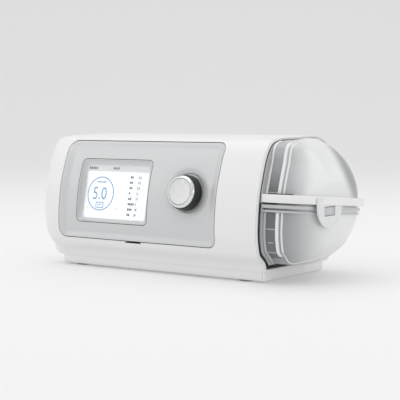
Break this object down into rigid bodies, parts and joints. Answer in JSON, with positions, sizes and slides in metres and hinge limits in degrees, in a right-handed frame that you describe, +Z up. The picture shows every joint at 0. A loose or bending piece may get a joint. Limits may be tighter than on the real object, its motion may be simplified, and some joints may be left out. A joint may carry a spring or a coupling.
{
  "type": "bilevel positive airway pressure machine",
  "caption": "Bedside breathing machine: long white casing, grey display panel with a turn-and-press knob, inner blower, and a clear lidded water chamber that slides out of its right end.",
  "frame": {"origin": "centre of the footprint, on the surface the machine stands on", "axes": "+X along the casing towards the water chamber, +Y from the display to the rear, +Z up"},
  "size_m": [0.3026, 0.1538, 0.1252],
  "materials": {
    "white_plastic": "satin white moulding",
    "silver_plastic": "fine silver-grey paint",
    "grey_plastic": "fine matte",
    "black_plastic": "fine matte",
    "impeller_plastic": "smooth",
    "card_plastic": "smooth",
    "foot_rubber": "matte",
    "silicone": "soft matte",
    "steel": "bright",
    "brushed_disc": "turned, fine circular brushing",
    "chrome": "polished",
    "aluminium": "satin",
    "circuit_laminate": "solder mask",
    "heater_film": "polyimide film",
    "foam": "open-cell foam",
    "display_glass": "clear",
    "display": "lit display",
    "clear_plastic": "clear, lightly frosted inside"
  },
  "bodies": {
    "unit": {"base_tray": "white_plastic", "foot_1": "foot_rubber", "foot_2": "foot_rubber", "foot_3": "foot_rubber", "foot_4": "foot_rubber", "base_screw_1": "steel", "base_screw_2": "steel", "base_screw_3": "steel", "base_screw_4": "steel", "main_housing": "white_plastic", "front_panel": "silver_plastic", "screen_bezel": "silver_plastic", "display_window": "display_glass", "lcd_module": "display", "display_board": "circuit_laminate", "encoder_body": "aluminium", "buzzer": "black_plastic", "main_board": "circuit_laminate", "flow_sensor": "grey_plastic", "rear_board": "circuit_laminate", "blower_lower": "black_plastic", "blower_upper": "black_plastic", "motor": "aluminium", "motor_bearing": "steel", "blower_cushion_1": "foot_rubber", "blower_cushion_2": "foot_rubber", "blower_cushion_3": "foot_rubber", "filter_tray": "grey_plastic", "air_filter": "foam", "muffler_box": "black_plastic", "muffler_foam": "foam", "inlet_duct": "silicone", "dock_frame": "black_plastic", "inlet_seal": "silicone", "outlet_seal": "silicone", "heater_film": "heater_film", "heater_plate": "aluminium", "chamber_duct": "silicone", "outlet_duct": "silicone", "air_outlet": "white_plastic", "power_inlet": "black_plastic", "power_switch": "black_plastic", "card_reader": "steel"},
    "encoder_stem": {"encoder_shaft": "steel"},
    "knob": {"knob_grip": "black_plastic", "knob_ring": "chrome", "knob_disc": "brushed_disc"},
    "standby_button": {"power_button": "grey_plastic"},
    "fan": {"impeller": "impeller_plastic", "motor_shaft": "steel"},
    "filter_cover": {"filter_door": "white_plastic"},
    "card": {"memory_card": "card_plastic"},
    "chamber": {"water_tub": "clear_plastic", "tub_heat_plate": "steel", "chamber_wall": "clear_plastic", "hinge_pin": "steel"},
    "lid": {"chamber_lid": "clear_plastic", "lid_seal": "silicone"},
    "latch": {"lid_latch": "clear_plastic"}
  },
  "joints": [
    {"name": "knob_press", "type": "slide", "parent": "unit", "child": "encoder_stem", "axis": [0, 0.9816, -0.1908], "range_m": [0, 0.001], "stiffness_N_per_m": 400, "springref_m": -0.004},
    {"name": "knob_turn", "type": "hinge", "parent": "encoder_stem", "child": "knob", "pos_m": [0.0265, -0.06338, 0.075], "axis": [0, 0.9816, -0.1908], "continuous": true},
    {"name": "power_press", "type": "slide", "parent": "unit", "child": "standby_button", "axis": [0, -1, 0], "range_m": [0, 0.0012], "stiffness_N_per_m": 300, "springref_m": -0.004},
    {"name": "fan_turn", "type": "hinge", "parent": "unit", "child": "fan", "pos_m": [-0.0083, -0.0111, 0.03], "axis": [0, 0, 1], "continuous": true},
    {"name": "filter_door_hinge", "type": "hinge", "parent": "unit", "child": "filter_cover", "pos_m": [-0.0953, 0.0557, 0.042], "axis": [-1, 0, 0], "range_deg": [0, 85]},
    {"name": "card_slide", "type": "slide", "parent": "unit", "child": "card", "axis": [0, 1, 0], "range_m": [0, 0.016]},
    {"name": "chamber_slide", "type": "slide", "parent": "unit", "child": "chamber", "axis": [1, 0, 0], "range_m": [0, 0.055]},
    {"name": "lid_hinge", "type": "hinge", "parent": "chamber", "child": "lid", "pos_m": [0.1089, -0.0071, 0.115], "axis": [0, -1, 0], "range_deg": [0, 55]},
    {"name": "latch_flex", "type": "hinge", "parent": "lid", "child": "latch", "pos_m": [0.1493, -0.0271, 0.07469], "axis": [0, -1, 0], "range_deg": [0, 12], "stiffness_Nm_per_rad": 0.6, "springref_deg": -2.86}
  ]
}
